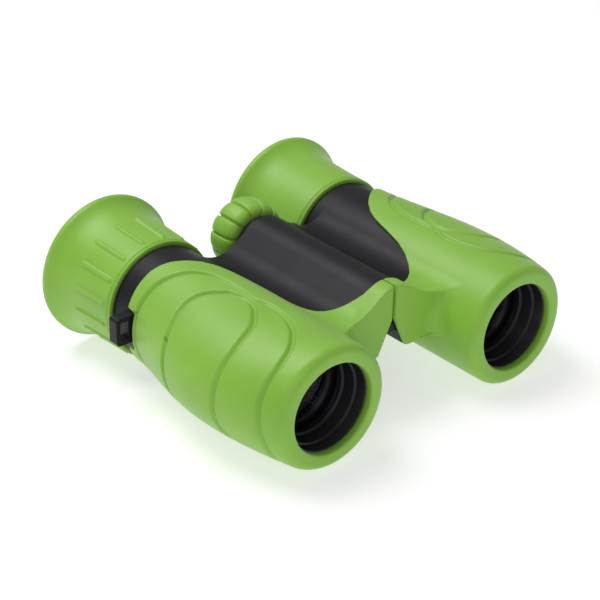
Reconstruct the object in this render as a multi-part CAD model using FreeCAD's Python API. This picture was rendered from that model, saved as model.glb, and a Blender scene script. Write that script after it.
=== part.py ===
"""Compact folding roof-prism binoculars of the 8x21 class, in millimetres.

Frame: the origin is midway between the two optical axes and midway along the
length. +Y points towards the user's eyes, +Z is up, and the user's right-hand
barrel is at -X. Rest is the fully opened position, with both optical axes at z = 0.
Right-hand pieces are modelled first, and the left-hand ones are their mirror images.
"""
import FreeCAD, Part

import math
import os

V = FreeCAD.Vector

# ---- overall ----------------------------------------------------------------
axis_spacing = 64.0      # between the optical axes with the barrels fully open
front_y = -48.5          # front face of the rubber lips
rear_y = 48.5            # rims of the eyecups
barrel_r = 16.8          # round part of a barrel, over the rubber
barrel_drop = 8.5        # how far the optical axes lie below the hinge axis

# ---- hand grip --------------------------------------------------------------
grip_bulge = 6.2         # how much further out the grip stands on the outer side
grip_y = -20.0           # where the grip is widest
grip_front_reach = 28.0  # from the widest place forward to where the bulge ends
grip_rear_reach = 36.0   # and back

# ---- rubber armour ----------------------------------------------------------
armour_t = 1.2           # rubber over the housing
armour_rear_y = 15.0     # rear edge of the rubber
lip_t = 2.2              # rubber in front of the housing
lip_round = 2.2          # rounding of the front lip
objective_opening_r = 12.25
wedge_proud = 0.6        # the rubber nose stands this far above the hinge cover
wedge_wall = 1.5         # its front wall
wedge_half_gap = 0.3     # from the middle plane to each nose

# ---- housing ----------------------------------------------------------------
housing_rear_y = 21.8    # shoulder that the eyecup base meets
neck_r = 14.0            # eyepiece neck behind the shoulder
neck_len = 7.2
prism_bore_front_y = -13.0
prism_bore_rear_y = 14.0

# ---- strap lug --------------------------------------------------------------
lug_len = 3.2            # along Y
lug_front_y = 12.0
lug_top_z = 5.3
lug_height = 7.9
lug_stand = 5.8          # how far the lug stands out from the housing
lug_wall = 1.3
lug_slot_w = 2.4
lug_notch = 0.4          # gap that the rubber leaves round the lug

# ---- hinge ------------------------------------------------------------------
cover_r = 8.3            # round top of the hinge cover
cover_front_y = -29.9
cover_rear_y = 18.0
flank_fall = 24.0        # how far a flank falls from the hinge to the optical axis
valley_r = 9.5           # hollow between the flanks and a barrel
wing_bottom_z = -1.5
fold_gap_deg = 25.0      # each half keeps this clear of straight down
channel_gap = 0.4        # left wing round the cover
skirt_x = 10.4           # the right half's cover reaches this far over the left
skirt_gap = 0.45
skirt_t = 1.3
axle_r = 4.0
axle_bore_r = 3.0
axle_fit = 0.05
bush_front_t = 1.7       # wall that carries the axle at the cover's front
bush_rear_t = 3.0
hinge_bore_r = 6.6
knuckle_front_r = 6.0
knuckle_rear_r = 7.0
knuckle_front_t = 2.2
knuckle_rear_t = 1.9
knuckle_gap = 0.3        # knuckle to the cover's end face
knuckle_arm_h = 8.0
knuckle_arm_reach = 5.0  # out past the cover, into the left wing
axle_head_r = 5.4
axle_head_t = 0.8
axle_nut_r = 5.2
axle_nut_t = 1.2
end_gap = 0.1            # axle head and nut to the knuckles
nose_pocket_gap = 0.4    # rubber nose round the front knuckle
nose_end_gap = 0.2       # and in front of the axle's head
washer_t = 0.2

# ---- focusing ---------------------------------------------------------------
focus_travel = 1.5       # each way
arm_y = -24.5            # middle of the annular groove and both focus arms
arm_t = 1.3
arm_h = 3.0
groove_fit = 0.1         # each side of the fork in the groove
carriage_r = 6.3
carriage_half_w = 1.8
groove_r = 4.7
fork_r = 6.1
fork_clear = 0.1
fork_half_deg = 50.0
slide_fit = 0.06
arm_play = 0.6           # round an arm in its tunnel, besides the travel
fold_deg = 40.0
pin_r = 0.7
nut_r = 2.9
nut_half_len = 3.5
screw_thread_r = 2.0
screw_neck_r = 2.5
thread_fit = 0.05
wheel_gap = 0.4          # wheel to the rear knuckle
wheel_w = 9.8
wheel_r = 10.4
wheel_crown = 3.0
wheel_hub_r = 6.6
wheel_grooves = 12
wheel_groove_r = 1.0
wheel_recess_gap = 0.4
cap_screw_r = 1.0
cap_head_r = 2.2
cap_head_t = 0.8

# ---- objective --------------------------------------------------------------
cell_r = 12.4
cell_fit = 0.08
cell_front_y = -35.5
cell_rear_y = -23.0
lens_r = 11.2
cell_stop_r = 10.2
crown_t = 2.4
flint_t = 1.6
lens_front_sag = 0.9
lens_joint_sag = 0.8
retainer_t = 1.4
retainer_r = 10.3
baffle_steps = 2
baffle_front_r = 12.0
baffle_step = 0.7
baffle_gap = 0.4         # baffle to the cell at the front of its travel

# ---- prisms -----------------------------------------------------------------
cage_gap = 0.1           # cage to the housing's bore
cage_rim = 0.4           # left outside the corners of the prism pocket
cage_wall = 3.0
cage_front_y = -12.0
cage_rear_y = 13.0
cage_window_r = 7.0
prism_half_w = 8.0
prism_half_h = 9.0
prism_air_gap = 0.3
prism_tilt_deg = 22.5
prism_play = 0.2
clip_t = 0.5
clip_half_w = 2.5

# ---- eyepiece and eyecup ----------------------------------------------------
ocular_r = 10.55
ocular_fit = 0.05
ocular_wall = 1.35
ocular_front_gap = 2.0   # prism chamber to the eyepiece tube at the front of its travel
ocular_rear_y = 38.6
field_lens_y = 19.0
field_lens_t = 3.0
eye_lens_y = 32.5
eye_lens_t = 4.0
ocular_stop_r = 7.8
ring_gap = 0.3           # eyecup base to the housing's shoulder
ring_r = 15.2
ring_rear_y = 38.0
ring_plate_t = 2.0
ring_hollow_gap = 1.2    # round the eyepiece tube inside the ring
dioptre_travel = 1.0     # each way
eyecup_waist_step = 0.7  # the eyecup's waist stands this far over the barrel
eyecup_waist_y = 36.0
eyecup_rim_step = 4.0    # and its rim this far
bell_length_share = 0.56 # this far along the bell from its waist...
bell_flare_share = 0.25  # ...it has this share of its flare
eyecup_t = 1.4
rib_count = 16
rib_w = 1.1
rib_h = 0.4
rib_front_y = 24.5
rib_rear_y = 37.3

# ---- worked out from the sizes above ----------------------------------------
axis_x = axis_spacing / 2
hinge_z = barrel_drop
housing_front_y = front_y + lip_t
housing_r = barrel_r - armour_t
lug_reach = housing_r + lug_stand
eyecup_waist_r = barrel_r + eyecup_waist_step
eyecup_rim_r = barrel_r + eyecup_rim_step
cell_bore_r = cell_r + cell_fit
knuckle_front_y = cover_front_y - knuckle_gap - knuckle_front_t
knuckle_rear_y = cover_rear_y + knuckle_gap + knuckle_rear_t
axle_front_y = knuckle_front_y - end_gap - axle_head_t
axle_rear_y = knuckle_rear_y + end_gap + axle_nut_t
wheel_front_y = knuckle_rear_y + wheel_gap
wheel_rear_y = wheel_front_y + wheel_w
nose_back_y = axle_front_y - nose_end_gap
wedge_front_y = nose_back_y - wedge_wall
flank_slope = math.atan2(flank_fall, axis_x)
arm_angle = math.atan2(-barrel_drop, -axis_x)
hinge_to_axis = math.hypot(axis_x, barrel_drop)
crown_y = cell_front_y + retainer_t + 0.4
flint_y = crown_y + crown_t
cage_pocket_w = prism_half_w + prism_play
cage_pocket_h = prism_half_h + clip_t + prism_play
cage_r = math.hypot(cage_pocket_w, cage_pocket_h) + cage_rim
prism_bore_r = cage_r + cage_gap
ocular_front_y = prism_bore_rear_y + dioptre_travel + ocular_front_gap
ring_hollow_r = ocular_r + ocular_fit + ring_hollow_gap
BEYOND = 1.0             # cutting tools run this far past what they cut

Y = V(0, 1, 0)


# ---- helpers ----------------------------------------------------------------
def rod(x, z, radius, y0, y1):
    """A cylinder along Y."""
    return Part.makeCylinder(radius, y1 - y0, V(x, y0, z), Y)


def tube(x, z, outer, inner, y0, y1):
    return rod(x, z, outer, y0, y1).cut(rod(x, z, inner, y0 - BEYOND, y1 + BEYOND))


def block(x0, x1, y0, y1, z0, z1):
    return Part.makeBox(x1 - x0, y1 - y0, z1 - z0, V(x0, y0, z0))


def extrude_xz(points, y0, y1):
    """A prism along Y from corner points (x, z)."""
    corners = [V(x, y0, z) for x, z in points]
    face = Part.Face(Part.makePolygon(corners + corners[:1]))
    return face.extrude(V(0, y1 - y0, 0))


def extrude_yz(points, x0, x1):
    """A prism along X from corner points (y, z)."""
    corners = [V(x0, y, z) for y, z in points]
    face = Part.Face(Part.makePolygon(corners + corners[:1]))
    return face.extrude(V(x1 - x0, 0, 0))


def spin(edges, x, z=0.0):
    """A solid of revolution about the line along Y through (x, z)."""
    face = Part.Face(Part.Wire(edges))
    return face.revolve(V(x, 0, z), Y, 360)


def spin_points(points, x, z=0.0):
    """The same from corner points (radius, y)."""
    corners = [V(x + radius, y, z) for radius, y in points]
    corners.append(corners[0])
    edges = [Part.makeLine(a, b) for a, b in zip(corners, corners[1:])]
    return spin(edges, x, z)


def about_hinge(radius, angle):
    """(x, z) at a radius and an angle about the hinge axis, from +X towards +Z."""
    return radius * math.cos(angle), hinge_z + radius * math.sin(angle)


def sector(radius, from_deg, to_deg, y0, y1):
    """A wedge-shaped prism about the hinge axis, wide enough to cut with."""
    steps = 8
    points = [(0, hinge_z)]
    for i in range(steps + 1):
        angle = math.radians(from_deg + (to_deg - from_deg) * i / steps)
        points.append(about_hinge(radius, angle))
    return extrude_xz(points, y0, y1)


def mirrored(shape):
    return shape.mirror(V(0, 0, 0), V(1, 0, 0))


def fused(first, *others):
    result = first
    for other in others:
        result = result.fuse(other)
    return result.removeSplitter()


# ---- barrel and wing outlines -----------------------------------------------
def bulge_share(y):
    """How much of the grip's bulge stands out at y, from 0 to 1."""
    if y < grip_y:
        u = (y - grip_y) / grip_front_reach
        return max(0.0, 1 - u * u)
    u = min(1.0, (y - grip_y) / grip_rear_reach)
    return (1 - u * u) ** 2


def barrel_section(y, inset):
    """Closed outline of the right barrel at y: round inside, bulged outside."""
    count = 24
    radius = barrel_r - inset
    points = []
    for i in range(count):
        angle = 2 * math.pi * i / count
        reach = radius
        if math.cos(angle) > 1e-9:
            reach += grip_bulge * bulge_share(y)
        points.append(V(-axis_x - reach * math.cos(angle), y, radius * math.sin(angle)))
    curve = Part.BSplineCurve()
    curve.interpolate(Points=points, PeriodicFlag=True)
    return Part.Wire(curve.toShape())


def barrel_loft(stations):
    """A solid barrel through (y, inset) stations."""
    return Part.makeLoft([barrel_section(y, inset) for y, inset in stations], True, False)


def spaced(y0, y1, count):
    return [y0 + (y1 - y0) * i / count for i in range(count + 1)]


def armour_barrel():
    """Outside of the rubber, with its rounded front lip."""
    stations = []
    for degrees in (0, 35, 65):
        back = lip_round * (1 - math.cos(math.radians(degrees)))
        inset = lip_round * (1 - math.sin(math.radians(degrees)))
        stations.append((front_y + back, inset))
    for y in spaced(front_y + lip_round, armour_rear_y, 9):
        stations.append((y, 0.0))
    return barrel_loft(stations)


def housing_barrel():
    stations = [(y, armour_t) for y in spaced(housing_front_y, housing_rear_y, 9)]
    return barrel_loft(stations)


def wing(cover_radius, barrel_radius, y0, y1):
    """From the right barrel to the hinge axis: round hollow, then a straight flank."""
    down = V(-math.cos(flank_slope), 0, -math.sin(flank_slope))
    out = V(-math.sin(flank_slope), 0, math.cos(flank_slope))
    hinge = V(0, 0, hinge_z)
    barrel = V(-axis_x, 0, 0)
    top = hinge + out * cover_radius
    reach = top + out * valley_r - barrel
    along = reach.dot(down)
    gap = barrel_radius + valley_r
    centre = barrel + reach + down * (-along - math.sqrt(along ** 2 - reach.dot(reach) + gap ** 2))
    to_barrel = (barrel - centre).normalize()
    flank_end = centre - out * valley_r
    barrel_end = centre + to_barrel * valley_r
    middle = centre + (to_barrel - out).normalize() * valley_r
    foot_x = (hinge_z - wing_bottom_z) * math.tan(math.radians(fold_gap_deg))
    corners = [flank_end, top, hinge, V(-foot_x, 0, wing_bottom_z),
               V(-axis_x, 0, wing_bottom_z), barrel_end]
    lift = V(0, y0, 0)
    edges = [Part.makeLine(a + lift, b + lift) for a, b in zip(corners, corners[1:])]
    edges.append(Part.Arc(barrel_end + lift, middle + lift, flank_end + lift).toShape())
    return Part.Face(Part.Wire(edges)).extrude(V(0, y1 - y0, 0))


def skirt(gap, y0, y1):
    """The part of the hinge cover that reaches over the left half, or, with a gap,
    the room for it."""
    lift = gap / math.cos(flank_slope)
    top_x = cover_r * math.sin(flank_slope)
    top_z = hinge_z + cover_r * math.cos(flank_slope) + lift
    edge_x = skirt_x + gap
    edge_z = top_z - (edge_x - top_x) * math.tan(flank_slope)
    under_z = edge_z - skirt_t - gap - lift
    inner_x, inner_z = about_hinge(cover_r, math.radians(5))
    return extrude_xz([(0, hinge_z), (0, top_z), (top_x, top_z), (edge_x, edge_z),
                       (edge_x, under_z), (inner_x, min(inner_z, under_z))], y0, y1)


# ---- cuts shared by both halves ---------------------------------------------
def nose_cut():
    """Everything past the right nose's side of the seam, ahead of the cover."""
    return block(-wedge_half_gap, axis_x, wedge_front_y - BEYOND, cover_front_y,
                 wing_bottom_z - BEYOND, hinge_z + axis_x)


def nose_pocket():
    """Room for the front knuckle inside both noses."""
    return rod(0, hinge_z, knuckle_front_r + nose_pocket_gap, nose_back_y, cover_front_y)


def arm_tunnel():
    """Way through the right wing for its focus arm, along the line to the barrel."""
    half_y = arm_t / 2 + focus_travel + arm_play
    half_h = arm_h / 2 + arm_play
    box = block(hinge_bore_r - 2, hinge_to_axis - cell_r + 1,
                arm_y - half_y, arm_y + half_y, -half_h, half_h)
    return to_arm_line(box)


def to_arm_line(shape):
    """Turns a shape drawn along +X from the hinge axis onto the right arm's line."""
    placed = shape.copy()
    placed.rotate(V(0, 0, 0), V(0, 1, 0), -math.degrees(arm_angle))
    placed.translate(V(0, 0, hinge_z))
    return placed


def barrel_bores():
    """Stepped bore of the right barrel, front to back."""
    objective = rod(-axis_x, 0, cell_bore_r, housing_front_y - BEYOND, prism_bore_front_y + BEYOND)
    prism = rod(-axis_x, 0, prism_bore_r, prism_bore_front_y, prism_bore_rear_y)
    eyepiece = rod(-axis_x, 0, ocular_r + ocular_fit, prism_bore_rear_y - BEYOND,
                   housing_rear_y + neck_len + BEYOND)
    return objective.fuse(prism).fuse(eyepiece)


def lug_box(gap):
    return block(-axis_x - lug_reach - gap, -axis_x - neck_r, lug_front_y - gap,
                 lug_front_y + lug_len, lug_top_z - lug_height - gap, lug_top_z + gap)


def strap_lug():
    """Loop for a strap on the barrel's outer side; its slot runs along Y."""
    outer_x = -axis_x - lug_reach
    slot = block(outer_x + lug_wall, outer_x + lug_wall + lug_slot_w,
                 lug_front_y - BEYOND, lug_front_y + lug_len + BEYOND,
                 lug_top_z - lug_height + lug_wall, lug_top_z - lug_wall)
    body = lug_box(0)
    corners = [e for e in body.Edges
               if abs(e.CenterOfMass.x - outer_x) < 0.01 and abs(e.tangentAt(0).y) > 0.9]
    return body.makeFillet(lug_wall * 0.8, corners).cut(slot)


def half_housing():
    """Barrel, wing, neck and lug of the right half, before its hinge is cut."""
    return fused(
        housing_barrel(),
        wing(cover_r, housing_r, nose_back_y, cover_rear_y).cut(nose_cut()).cut(nose_pocket()),
        rod(-axis_x, 0, neck_r, housing_rear_y - BEYOND, housing_rear_y + neck_len),
        strap_lug(),
    )


def right_housing():
    body = fused(
        half_housing(),
        rod(0, hinge_z, cover_r, cover_front_y, cover_rear_y),
        skirt(0.0, cover_front_y, cover_rear_y),
    )
    inside = rod(0, hinge_z, hinge_bore_r, cover_front_y + bush_front_t,
                 cover_rear_y - bush_rear_t)
    axle_hole = rod(0, hinge_z, axle_r, cover_front_y - BEYOND, cover_rear_y + BEYOND)
    half_y = arm_t / 2 + focus_travel + arm_play
    arm_deg = 180 - math.degrees(arm_angle % (2 * math.pi))
    arm_half_deg = math.degrees(math.asin(arm_h / 2 / hinge_bore_r)) + 5
    window = sector(skirt_x + 2, arm_deg - fold_deg - arm_half_deg, arm_deg + arm_half_deg,
                    arm_y - half_y, arm_y + half_y)
    for cut in (inside, axle_hole, window, arm_tunnel(), barrel_bores()):
        body = body.cut(cut)
    return body


def knuckle(radius, y0, y1):
    """Round lug on the axle with its arm out to the left wing."""
    arm = block(0, cover_r + knuckle_arm_reach, y0, y1, hinge_z - knuckle_arm_h / 2,
                hinge_z + knuckle_arm_h / 2)
    arm = arm.common(mirrored(wing(cover_r, housing_r, y0, y1)))
    trim = skirt(skirt_gap, y0 - BEYOND, y1 + BEYOND)
    return rod(0, hinge_z, radius, y0, y1).fuse(arm.cut(trim)).removeSplitter()


def left_housing():
    half = mirrored(half_housing())
    channel = rod(0, hinge_z, cover_r + channel_gap, cover_front_y - knuckle_gap,
                  cover_rear_y + knuckle_gap)
    room = skirt(skirt_gap, cover_front_y - BEYOND, cover_rear_y + knuckle_gap)
    body = fused(
        half.cut(room),
        knuckle(knuckle_front_r, knuckle_front_y, cover_front_y + BEYOND),
        knuckle(knuckle_rear_r, cover_rear_y - BEYOND, knuckle_rear_y),
    )
    axle_hole = rod(0, hinge_z, axle_r + axle_fit, knuckle_front_y - BEYOND,
                    knuckle_rear_y + BEYOND)
    for cut in (channel, axle_hole, mirrored(arm_tunnel()), mirrored(barrel_bores())):
        body = body.cut(cut)
    return body


# ---- rubber armour ----------------------------------------------------------
def bare_outline():
    """Plan-view edge of the rubber on the right half, from the nose to the rear band.

    Each point is a share of the way from the hinge to the optical axis, and a share
    of the way from the cover's front edge to the rubber's rear edge."""
    shares = [(0.16, 0.0), (0.26, 0.035), (0.37, 0.08), (0.46, 0.115), (0.56, 0.19),
              (0.65, 0.296), (0.72, 0.45), (0.76, 0.60), (0.83, 0.755), (0.93, 0.86),
              (1.10, 0.945), (1.35, 1.0)]
    span = armour_rear_y - cover_front_y
    return [V(-axis_x * across, cover_front_y + span * along, wing_bottom_z)
            for across, along in shares]


def bare_region():
    """Everything above the wing's underside that the rubber leaves bare."""
    outline = bare_outline()
    curve = Part.BSplineCurve()
    curve.interpolate(outline)
    far = axis_x * 3
    corners = [outline[-1], V(-far, armour_rear_y, wing_bottom_z), V(-far, rear_y, wing_bottom_z),
               V(far, rear_y, wing_bottom_z), V(far, cover_front_y, wing_bottom_z), outline[0]]
    edges = [curve.toShape()]
    edges += [Part.makeLine(a, b) for a, b in zip(corners, corners[1:])]
    return Part.Face(Part.Wire(edges)).extrude(V(0, 0, far))


def nose():
    """Rubber in front of the hinge cover, up to the middle plane."""
    radius = cover_r + wedge_proud
    body = wing(radius, barrel_r, wedge_front_y, cover_front_y)
    body = body.fuse(rod(0, hinge_z, radius, wedge_front_y, cover_front_y))
    below = sector(3 * radius, -90 - fold_gap_deg, -90 + fold_gap_deg,
                   wedge_front_y - BEYOND, cover_front_y + BEYOND)
    return body.cut(nose_cut()).cut(below).cut(nose_pocket())


def armour(housing_without_bores):
    body = fused(armour_barrel(), nose())
    opening = rod(-axis_x, 0, objective_opening_r, front_y - BEYOND, armour_rear_y + BEYOND)
    for cut in (housing_without_bores, bare_region(), opening, lug_box(lug_notch)):
        body = body.cut(cut)
    return body


def left_armour(right, housing):
    return mirrored(right).cut(housing)


# ---- hinge and focusing -----------------------------------------------------
def hinge_axle():
    body = rod(0, hinge_z, axle_r, knuckle_front_y - end_gap, axle_rear_y)
    body = body.fuse(rod(0, hinge_z, axle_head_r, axle_front_y, knuckle_front_y - end_gap))
    body = body.cut(rod(0, hinge_z, axle_bore_r, axle_front_y - BEYOND, axle_rear_y + BEYOND))
    half_y = pin_r + focus_travel + 0.2
    slot = block(-pin_r - axle_fit, pin_r + axle_fit, arm_y - half_y, arm_y + half_y,
                 hinge_z - axle_r - BEYOND, hinge_z + axle_r + BEYOND)
    return body.cut(slot).removeSplitter()


def hinge_nut():
    return tube(0, hinge_z, axle_nut_r, axle_r, knuckle_rear_y + end_gap, axle_rear_y)


def hinge_washers():
    slack = (knuckle_gap - washer_t) / 2
    bore = axle_r + axle_fit
    front = tube(0, hinge_z, knuckle_front_r, bore, cover_front_y - slack - washer_t,
                 cover_front_y - slack)
    rear = tube(0, hinge_z, knuckle_front_r, bore, cover_rear_y + slack,
                cover_rear_y + slack + washer_t)
    return Part.makeCompound([front, rear])


def focus_wheel_hub():
    body = tube(0, hinge_z, wheel_hub_r, screw_neck_r, wheel_front_y, wheel_rear_y)
    recess = rod(0, hinge_z, axle_nut_r + wheel_recess_gap, wheel_front_y - BEYOND,
                 axle_rear_y + wheel_recess_gap)
    return body.cut(recess)


def focus_wheel_tyre():
    """Crowned rubber tyre with grooves across its tread."""
    middle_y = (wheel_front_y + wheel_rear_y) / 2
    edge_r = wheel_r - wheel_crown
    inner_front = V(wheel_hub_r, wheel_front_y, hinge_z)
    outer_front = V(edge_r, wheel_front_y, hinge_z)
    crown = V(wheel_r, middle_y, hinge_z)
    outer_rear = V(edge_r, wheel_rear_y, hinge_z)
    inner_rear = V(wheel_hub_r, wheel_rear_y, hinge_z)
    body = spin([
        Part.makeLine(inner_front, outer_front),
        Part.Arc(outer_front, crown, outer_rear).toShape(),
        Part.makeLine(outer_rear, inner_rear),
        Part.makeLine(inner_rear, inner_front),
    ], 0, hinge_z)
    for i in range(wheel_grooves):
        angle = 2 * math.pi * (i + 0.5) / wheel_grooves
        x, z = about_hinge(wheel_r + wheel_groove_r * 0.35, angle)
        body = body.cut(rod(x, z, wheel_groove_r, wheel_front_y - BEYOND, wheel_rear_y + BEYOND))
    return body


def focus_screw():
    thread_end_y = arm_y + nut_half_len + focus_travel + BEYOND
    thread_start_y = arm_y - nut_half_len - focus_travel
    body = fused(
        rod(0, hinge_z, screw_thread_r, thread_start_y, thread_end_y),
        rod(0, hinge_z, axle_bore_r - axle_fit, thread_end_y, axle_rear_y),
        rod(0, hinge_z, screw_neck_r, axle_rear_y, wheel_rear_y),
    )
    return body.cut(rod(0, hinge_z, cap_screw_r, wheel_rear_y - wheel_w / 2, wheel_rear_y + BEYOND))


def wheel_cap_screw():
    head = rod(0, hinge_z, cap_head_r, wheel_rear_y, wheel_rear_y + cap_head_t)
    shank = rod(0, hinge_z, cap_screw_r, wheel_rear_y - wheel_w / 2 + BEYOND, wheel_rear_y)
    slot = block(-cap_head_r, cap_head_r, wheel_rear_y + cap_head_t / 2,
                 wheel_rear_y + cap_head_t + BEYOND, hinge_z - 0.3, hinge_z + 0.3)
    return head.fuse(shank).cut(slot).removeSplitter()


def focus_nut():
    body = tube(0, hinge_z, nut_r, screw_thread_r + thread_fit, arm_y - nut_half_len,
                arm_y + nut_half_len)
    return body.cut(cross_pin_line())


def cross_pin_line():
    height = 2 * groove_r
    return Part.makeCylinder(pin_r, height, V(0, arm_y, hinge_z - groove_r), V(0, 0, 1))


def focus_cross_pins():
    """Two short pins that pass through the axle's slots and drive the carriage."""
    keep_out = rod(0, hinge_z, screw_thread_r + thread_fit, arm_y - 2, arm_y + 2)
    inside = rod(0, hinge_z, groove_r, arm_y - 2, arm_y + 2)
    return cross_pin_line().common(inside).cut(keep_out)


def focus_carriage():
    """Grooved spool on the axle that moves both focus arms."""
    body = tube(0, hinge_z, carriage_r, axle_r + slide_fit, arm_y - carriage_half_w,
                arm_y + carriage_half_w)
    half_groove = arm_t / 2 + groove_fit
    groove = tube(0, hinge_z, carriage_r + BEYOND, groove_r, arm_y - half_groove,
                  arm_y + half_groove)
    return body.cut(groove).cut(cross_pin_line())


def focus_arm():
    """Right arm: a fork in the carriage's groove, and a bar out to the objective cell."""
    fork = tube(0, 0, fork_r, groove_r + fork_clear, arm_y - arm_t / 2, arm_y + arm_t / 2)
    keep = extrude_xz([(0, 0)] + [(2 * fork_r * math.cos(a), 2 * fork_r * math.sin(a))
                                  for a in (-math.radians(fork_half_deg), 0,
                                            math.radians(fork_half_deg))],
                      arm_y - arm_t, arm_y + arm_t)
    bar = block(groove_r + fork_clear + 0.3, hinge_to_axis, arm_y - arm_t / 2, arm_y + arm_t / 2,
                -arm_h / 2, arm_h / 2)
    arm = to_arm_line(fork.common(keep).fuse(bar).removeSplitter())
    return arm.cut(rod(-axis_x, 0, cell_r, cell_front_y, cell_rear_y))


# ---- optics -----------------------------------------------------------------
def objective_cell():
    seat_y = flint_y + flint_t
    body = tube(-axis_x, 0, cell_r, cell_stop_r, cell_front_y, cell_rear_y)
    return body.cut(rod(-axis_x, 0, lens_r, cell_front_y - BEYOND, seat_y))


def lens(radius, y0, front_bow, y1, rear_bow):
    """A round lens; a bow is how far a face's middle lies in front of its edge."""
    x = -axis_x
    front_edge = V(x + radius, y0, 0)
    front_middle = V(x, y0 - front_bow, 0)
    rear_edge = V(x + radius, y1, 0)
    rear_middle = V(x, y1 - rear_bow, 0)
    edges = [face_line(front_middle, front_edge, front_bow),
             Part.makeLine(front_edge, rear_edge),
             face_line(rear_edge, rear_middle, rear_bow),
             Part.makeLine(rear_middle, front_middle)]
    return spin(edges, x)


def face_line(start, end, bow):
    """Half of a lens face in section: an arc, or a line if the face is flat."""
    if abs(bow) < 1e-6:
        return Part.makeLine(start, end)
    middle, edge = (start, end) if abs(start.x + axis_x) < abs(end.x + axis_x) else (end, start)
    half = edge.x - middle.x
    radius = (half ** 2 + bow ** 2) / (2 * abs(bow))
    side = 1 if bow > 0 else -1
    centre = V(middle.x, middle.y + side * radius, 0)
    tilt = math.asin(half / radius) / 2
    on_arc = centre + V(radius * math.sin(tilt), -side * radius * math.cos(tilt), 0)
    return Part.Arc(start, on_arc, end).toShape()


def objective_crown():
    return lens(lens_r, crown_y + lens_front_sag, lens_front_sag,
                flint_y - lens_joint_sag, -lens_joint_sag)


def objective_flint():
    return lens(lens_r, flint_y - lens_joint_sag, -lens_joint_sag, flint_y + flint_t, 0.0)


def objective_retainer():
    return tube(-axis_x, 0, lens_r, retainer_r, cell_front_y, cell_front_y + retainer_t)


def objective_baffle():
    """Stepped light trap in front of the objective."""
    rear = cell_front_y - focus_travel - baffle_gap
    step_len = (rear - housing_front_y) / baffle_steps
    points = [(cell_bore_r, housing_front_y)]
    for i in range(baffle_steps):
        radius = baffle_front_r - i * baffle_step
        points.append((radius, housing_front_y + i * step_len))
        points.append((radius, housing_front_y + (i + 1) * step_len))
    points.append((cell_bore_r, rear))
    return spin_points(points, -axis_x)


def prism_cage():
    body = rod(-axis_x, 0, cage_r, cage_front_y, cage_rear_y)
    pocket = block(-axis_x - cage_pocket_w, -axis_x + cage_pocket_w, cage_front_y + cage_wall,
                   cage_rear_y - cage_wall, -cage_pocket_h, cage_pocket_h)
    window = rod(-axis_x, 0, cage_window_r, cage_front_y - BEYOND, cage_rear_y + BEYOND)
    return body.cut(pocket).cut(window)


def prism_split():
    """y of the slanted air gap's front face at the bottom and at the top."""
    middle = (cage_front_y + cage_rear_y) / 2 - 0.5
    lean = prism_half_h * math.tan(math.radians(prism_tilt_deg))
    return middle + lean, middle - lean


def half_penta_prism():
    bottom_y, top_y = prism_split()
    front = cage_front_y + cage_wall + prism_play
    points = [(front, -prism_half_h + 2), (front, prism_half_h - 2), (top_y - 2, prism_half_h),
              (top_y, prism_half_h), (bottom_y, -prism_half_h), (bottom_y - 4, -prism_half_h)]
    return extrude_yz(points, -axis_x - prism_half_w, -axis_x + prism_half_w)


def roof_prism():
    """Its top is a roof of two faces at a right angle."""
    bottom_y, top_y = prism_split()
    gap = prism_air_gap / math.cos(math.radians(prism_tilt_deg))
    rear = cage_rear_y - cage_wall - prism_play
    points = [(bottom_y + gap, -prism_half_h), (top_y + gap, prism_half_h),
              (rear - 3, prism_half_h), (rear, prism_half_h - 3), (rear, -prism_half_h)]
    body = extrude_yz(points, -axis_x - prism_half_w, -axis_x + prism_half_w)
    ridge = prism_half_h
    roof = extrude_xz([(-axis_x - prism_half_w, -prism_half_h),
                       (-axis_x - prism_half_w, ridge - prism_half_w), (-axis_x, ridge),
                       (-axis_x + prism_half_w, ridge - prism_half_w),
                       (-axis_x + prism_half_w, -prism_half_h)], cage_front_y, cage_rear_y)
    return body.common(roof)


def prism_clip():
    return block(-axis_x - clip_half_w, -axis_x + clip_half_w, cage_front_y + cage_wall + 1,
                 cage_rear_y - cage_wall - 1, prism_half_h, prism_half_h + clip_t)


def eyepiece_tube():
    inner = ocular_r - ocular_wall
    stop_y0 = field_lens_y + field_lens_t
    stop_y1 = eye_lens_y
    body = tube(-axis_x, 0, ocular_r, inner, ocular_front_y, ocular_rear_y)
    return body.fuse(tube(-axis_x, 0, inner, ocular_stop_r, stop_y0, stop_y1)).removeSplitter()


def field_lens():
    inner = ocular_r - ocular_wall
    return lens(inner, field_lens_y, 0.0, field_lens_y + field_lens_t - 0.8, -0.8)


def eye_lens():
    inner = ocular_r - ocular_wall
    return lens(inner, eye_lens_y + 0.9, 0.9, eye_lens_y + eye_lens_t - 0.9, -0.9)


def eyepiece_retainer():
    inner = ocular_r - ocular_wall
    return tube(-axis_x, 0, inner, ocular_stop_r, eye_lens_y + eye_lens_t, ocular_rear_y - 0.3)


def eyecup_ring(neck_clearance):
    """Hard ring under the eyecup; its rear plate carries the eyepiece tube."""
    base_y = housing_rear_y + ring_gap
    neck_end = housing_rear_y + neck_len + ring_gap
    plate_y = ring_rear_y - ring_plate_t
    bore = ocular_r + ocular_fit
    points = [(neck_r + neck_clearance, base_y), (ring_r, base_y), (ring_r, ring_rear_y),
              (bore, ring_rear_y), (bore, plate_y), (ring_hollow_r, plate_y),
              (ring_hollow_r, neck_end), (neck_r + neck_clearance, neck_end)]
    return spin_points(points, -axis_x)


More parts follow.
